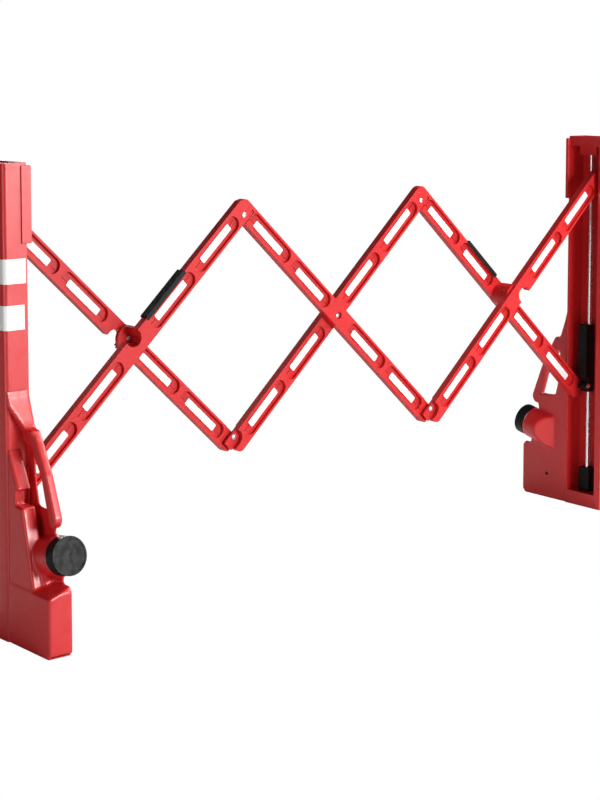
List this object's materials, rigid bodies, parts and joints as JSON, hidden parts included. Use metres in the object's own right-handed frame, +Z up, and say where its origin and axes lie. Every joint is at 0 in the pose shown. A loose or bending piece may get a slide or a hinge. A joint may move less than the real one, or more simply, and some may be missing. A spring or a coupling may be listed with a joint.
{
  "type": "expandable barrier",
  "caption": "Free-standing folding barrier: red plastic end units with ballast feet, filler caps and handles, joined by a pivoting lattice of arms with white reflective strips.",
  "frame": {"origin": "middle of the barrier on the floor, under its half-turn axis", "axes": "+X along the barrier to the right seen from the front, +Y to the back, +Z up; the left outrigger points to -Y, the right one to +Y"},
  "size_m": [1.8546, 0.4228, 1],
  "materials": {
    "red_plastic": "smooth moulded red plastic, satin gloss",
    "black_plastic": "fine grain black plastic",
    "reflective_white": "retro-reflective white film",
    "polished_steel": "drawn bright steel rod",
    "zinc": "zinc plated rivet",
    "seal_rubber": "black sealing ring"
  },
  "bodies": {
    "left_unit": {"left_post": "red_plastic", "left_lid": "red_plastic", "left_lock_tab": "red_plastic", "left_bands": "reflective_white", "left_base_tank": "red_plastic", "left_filler_neck": "red_plastic", "left_outer_tank": "red_plastic", "left_side_panel": "red_plastic", "left_handle": "red_plastic", "left_guide_rod": "polished_steel", "left_rod_foot": "black_plastic", "left_rod_head": "red_plastic", "left_top_bracket": "black_plastic", "left_top_pin": "zinc"},
    "right_unit": {"right_post": "red_plastic", "right_lid": "red_plastic", "right_lock_tab": "red_plastic", "right_bands": "reflective_white", "right_base_tank": "red_plastic", "right_filler_neck": "red_plastic", "right_outer_tank": "red_plastic", "right_side_panel": "red_plastic", "right_handle": "red_plastic", "right_guide_rod": "polished_steel", "right_rod_foot": "black_plastic", "right_rod_head": "red_plastic", "right_top_bracket": "black_plastic", "right_top_pin": "zinc"},
    "left_cap_ring": {"left_cap_seal": "seal_rubber"},
    "left_screw_cap": {"left_cap": "black_plastic"},
    "right_cap_ring": {"right_cap_seal": "seal_rubber"},
    "right_screw_cap": {"right_cap": "black_plastic"},
    "left_carriage": {"left_slider": "black_plastic", "left_slider_pin": "zinc"},
    "right_carriage": {"right_slider": "black_plastic", "right_slider_pin": "zinc"},
    "link_a1": {"arm_a1": "red_plastic", "strips_a1": "reflective_white"},
    "link_b1": {"arm_b1": "red_plastic", "strips_b1": "reflective_white", "grip_left": "black_plastic", "pin_crossing_left": "zinc", "pin_top_left": "zinc"},
    "link_a2": {"arm_a2": "red_plastic", "strips_a2": "reflective_white"},
    "link_b2": {"arm_b2": "red_plastic", "strips_b2": "reflective_white", "pin_crossing_mid": "zinc", "pin_bottom_left": "zinc", "pin_top_right": "zinc"},
    "link_a3": {"arm_a3": "red_plastic", "strips_a3": "reflective_white", "grip_right": "black_plastic"},
    "link_b3": {"arm_b3": "red_plastic", "strips_b3": "reflective_white", "pin_crossing_right": "zinc", "pin_bottom_right": "zinc"}
  },
  "joints": [
    {"name": "fold", "type": "hinge", "parent": "left_unit", "child": "link_a1", "pos_m": [-0.89395, 0, 0.87398], "axis": [0, 1, 0], "range_deg": [-19.5, 23.5]},
    {"name": "crossing_left", "type": "hinge", "parent": "link_a1", "child": "link_b1", "pos_m": [-0.58479, 0, 0.6], "axis": [0, 1, 0], "range_deg": [-47.5, 39.5]},
    {"name": "knuckle_bottom_left", "type": "hinge", "parent": "link_a1", "child": "link_b2", "pos_m": [-0.2924, 0, 0.34192], "axis": [0, 1, 0], "range_deg": [-47.5, 39.5]},
    {"name": "knuckle_top_left", "type": "hinge", "parent": "link_b1", "child": "link_a2", "pos_m": [-0.2924, 0, 0.85808], "axis": [0, 1, 0], "range_deg": [-39.5, 47.5]},
    {"name": "knuckle_top_right", "type": "hinge", "parent": "link_b2", "child": "link_a3", "pos_m": [0.2924, 0, 0.85808], "axis": [0, 1, 0], "range_deg": [-39.5, 47.5]},
    {"name": "knuckle_bottom_right", "type": "hinge", "parent": "link_a2", "child": "link_b3", "pos_m": [0.2924, 0, 0.34192], "axis": [0, 1, 0], "range_deg": [-47.5, 39.5]},
    {"name": "right_top_pivot", "type": "hinge", "parent": "link_b3", "child": "right_unit", "pos_m": [0.89395, 0, 0.87398], "axis": [0, 1, 0], "range_deg": [-20, 24]},
    {"name": "left_carriage_pivot", "type": "hinge", "parent": "link_b1", "child": "left_carriage", "pos_m": [-0.89395, 0, 0.32602], "axis": [0, 1, 0], "range_deg": [-20, 24]},
    {"name": "right_carriage_pivot", "type": "hinge", "parent": "link_a3", "child": "right_carriage", "pos_m": [0.89395, 0, 0.32602], "axis": [0, 1, 0], "range_deg": [-24, 20]},
    {"name": "left_cap_pull", "type": "slide", "parent": "left_unit", "child": "left_cap_ring", "axis": [0, -0.9781, 0.2079], "range_m": [0, 0.06]},
    {"name": "left_cap_turn", "type": "hinge", "parent": "left_cap_ring", "child": "left_screw_cap", "pos_m": [-0.8734, -0.203, 0.2086], "axis": [0, -0.9781, 0.2079], "continuous": true},
    {"name": "right_cap_pull", "type": "slide", "parent": "right_unit", "child": "right_cap_ring", "axis": [0, 0.9781, 0.2079], "range_m": [0, 0.06]},
    {"name": "right_cap_turn", "type": "hinge", "parent": "right_cap_ring", "child": "right_screw_cap", "pos_m": [0.8734, 0.203, 0.2086], "axis": [0, 0.9781, 0.2079], "continuous": true}
  ],
  "couplings": [
    {"joint": "crossing_left", "follows": "fold", "ratio": -2},
    {"joint": "knuckle_bottom_left", "follows": "fold", "ratio": -2},
    {"joint": "knuckle_top_left", "follows": "fold", "ratio": 2},
    {"joint": "knuckle_top_right", "follows": "fold", "ratio": 2},
    {"joint": "knuckle_bottom_right", "follows": "fold", "ratio": -2},
    {"joint": "right_top_pivot", "follows": "fold", "ratio": 1},
    {"joint": "left_carriage_pivot", "follows": "fold", "ratio": 1},
    {"joint": "right_carriage_pivot", "follows": "fold", "ratio": -1}
  ]
}
